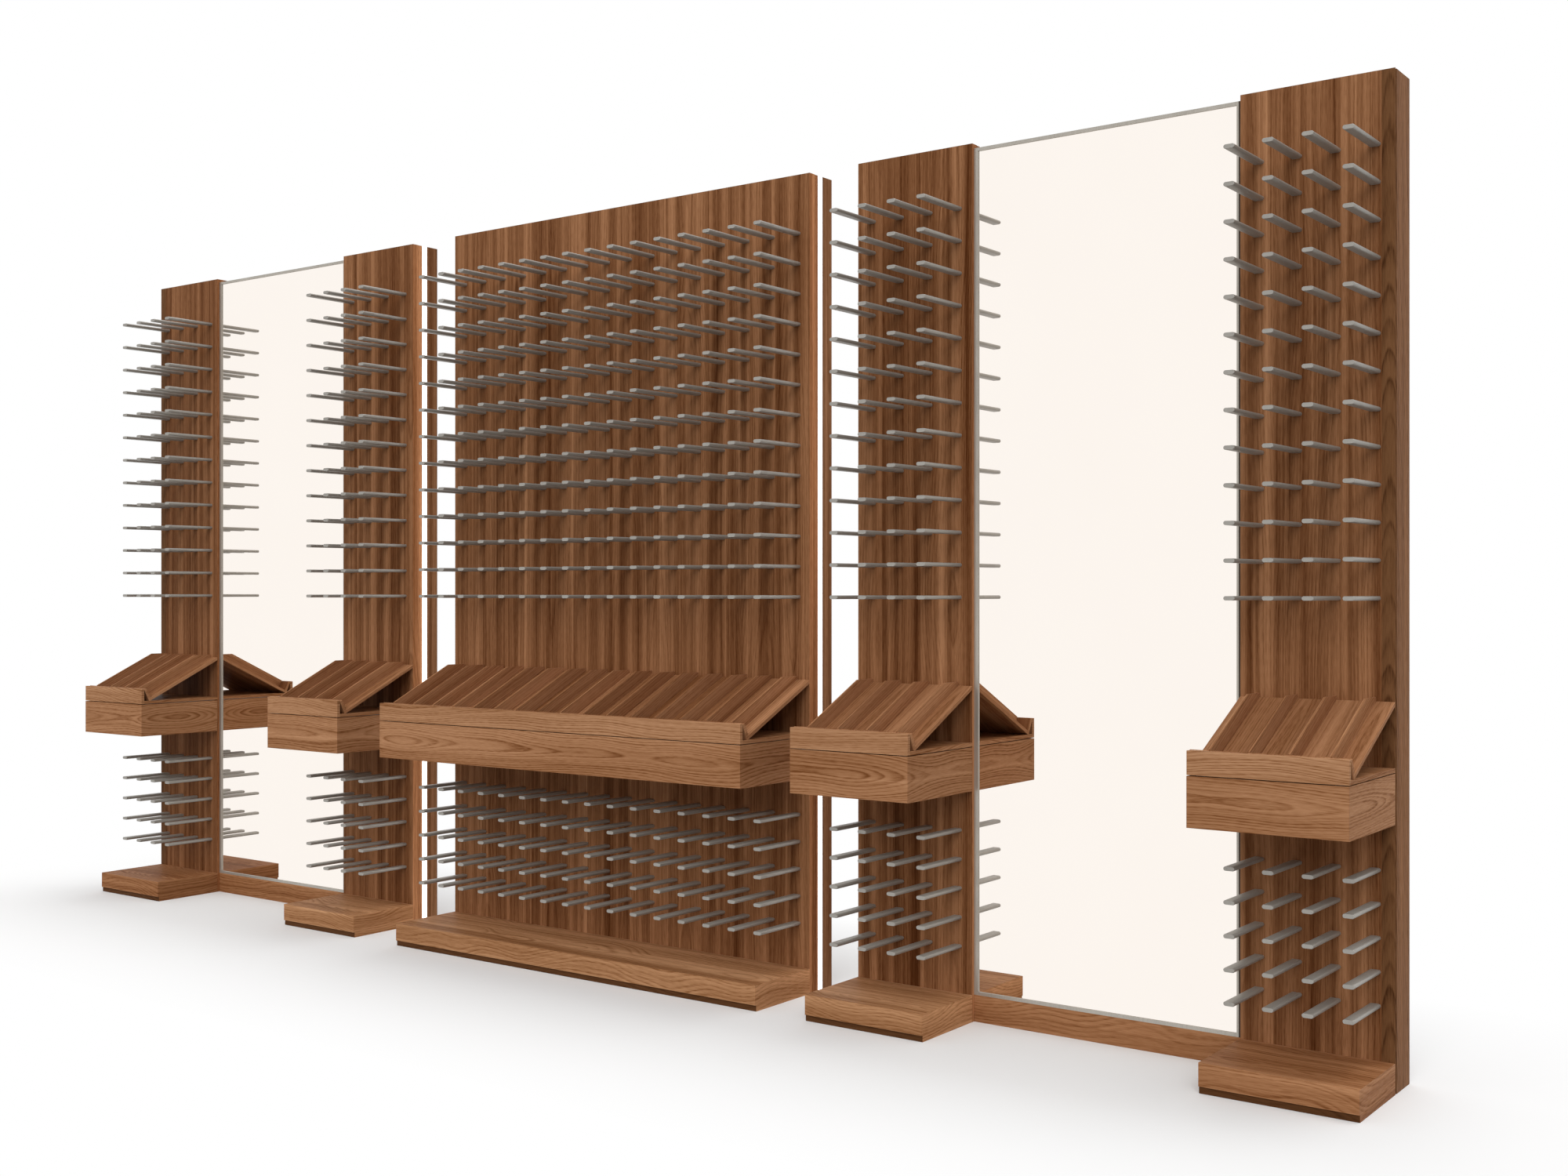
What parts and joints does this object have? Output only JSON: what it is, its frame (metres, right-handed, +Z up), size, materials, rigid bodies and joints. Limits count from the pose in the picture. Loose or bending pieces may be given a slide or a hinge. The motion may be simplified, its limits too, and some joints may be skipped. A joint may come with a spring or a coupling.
{
  "type": "wine rack",
  "caption": "Walnut wine wall of peg towers and a wide peg panel, with sloping display ledges over push-open drawers, plinths and framed mirror bays.",
  "frame": {"origin": "on the floor, at the middle of the overall width and depth", "axes": "+Z up, +X to the right seen from the front, front towards -Y"},
  "size_m": [4.979, 0.4514, 2.438],
  "materials": {
    "walnut_upright": "satin walnut veneer, upright grain",
    "walnut_level": "satin walnut veneer, level grain",
    "walnut_cradle": "satin walnut, grain along the slope",
    "walnut_frame": "satin walnut, plain",
    "anodised_aluminium": "satin anodised, warm grey",
    "satin_aluminium": "satin",
    "mirror_glass": "polished, faint warm tint",
    "opal_diffuser": "opal, frosted",
    "runner_steel": "zinc plated",
    "dark_toe": "dark brown, matte"
  },
  "bodies": {
    "root": {"far_left_panel": "walnut_upright", "far_left_rear_frame": "walnut_frame", "far_left_pegs": "anodised_aluminium", "far_left_shelf": "walnut_level", "far_left_lip": "walnut_level", "far_left_cradle": "walnut_cradle", "far_left_cradle_fins": "walnut_cradle", "far_left_plinth": "walnut_level", "left_panel": "walnut_upright", "left_rear_frame": "walnut_frame", "left_pegs": "anodised_aluminium", "left_shelf": "walnut_level", "left_lip": "walnut_level", "left_cradle": "walnut_cradle", "left_cradle_fins": "walnut_cradle", "left_plinth": "walnut_level", "centre_panel": "walnut_upright", "centre_rear_frame": "walnut_frame", "centre_pegs": "anodised_aluminium", "centre_shelf": "walnut_level", "centre_lip": "walnut_level", "centre_cradle": "walnut_cradle", "centre_cradle_fins": "walnut_cradle", "centre_plinth": "walnut_level", "right_panel": "walnut_upright", "right_rear_frame": "walnut_frame", "right_pegs": "anodised_aluminium", "right_shelf": "walnut_level", "right_lip": "walnut_level", "right_cradle": "walnut_cradle", "right_cradle_fins": "walnut_cradle", "right_plinth": "walnut_level", "far_right_panel": "walnut_upright", "far_right_rear_frame": "walnut_frame", "far_right_pegs": "anodised_aluminium", "far_right_shelf": "walnut_level", "far_right_lip": "walnut_level", "far_right_cradle": "walnut_cradle", "far_right_cradle_fins": "walnut_cradle", "far_right_plinth": "walnut_level", "left_mirror": "mirror_glass", "left_mirror_frame": "satin_aluminium", "left_skirting": "walnut_level", "right_mirror": "mirror_glass", "right_mirror_frame": "satin_aluminium", "right_skirting": "walnut_level", "end_panels": "walnut_upright", "light_strips": "opal_diffuser", "drawer_runners": "runner_steel", "toe_kicks": "dark_toe"},
    "far_left_drawer": {"far_left_drawer_front": "walnut_level", "far_left_drawer_box": "walnut_level"},
    "left_drawer": {"left_drawer_front": "walnut_level", "left_drawer_box": "walnut_level"},
    "centre_drawer": {"centre_drawer_front": "walnut_level", "centre_drawer_box": "walnut_level"},
    "right_drawer": {"right_drawer_front": "walnut_level", "right_drawer_box": "walnut_level"},
    "far_right_drawer": {"far_right_drawer_front": "walnut_level", "far_right_drawer_box": "walnut_level"}
  },
  "joints": [
    {"name": "far_left_drawer_slide", "type": "slide", "parent": "root", "child": "far_left_drawer", "axis": [0, -1, 0], "range_m": [0, 0.2]},
    {"name": "left_drawer_slide", "type": "slide", "parent": "root", "child": "left_drawer", "axis": [0, -1, 0], "range_m": [0, 0.2]},
    {"name": "centre_drawer_slide", "type": "slide", "parent": "root", "child": "centre_drawer", "axis": [0, -1, 0], "range_m": [0, 0.2]},
    {"name": "right_drawer_slide", "type": "slide", "parent": "root", "child": "right_drawer", "axis": [0, -1, 0], "range_m": [0, 0.2]},
    {"name": "far_right_drawer_slide", "type": "slide", "parent": "root", "child": "far_right_drawer", "axis": [0, -1, 0], "range_m": [0, 0.2]}
  ]
}
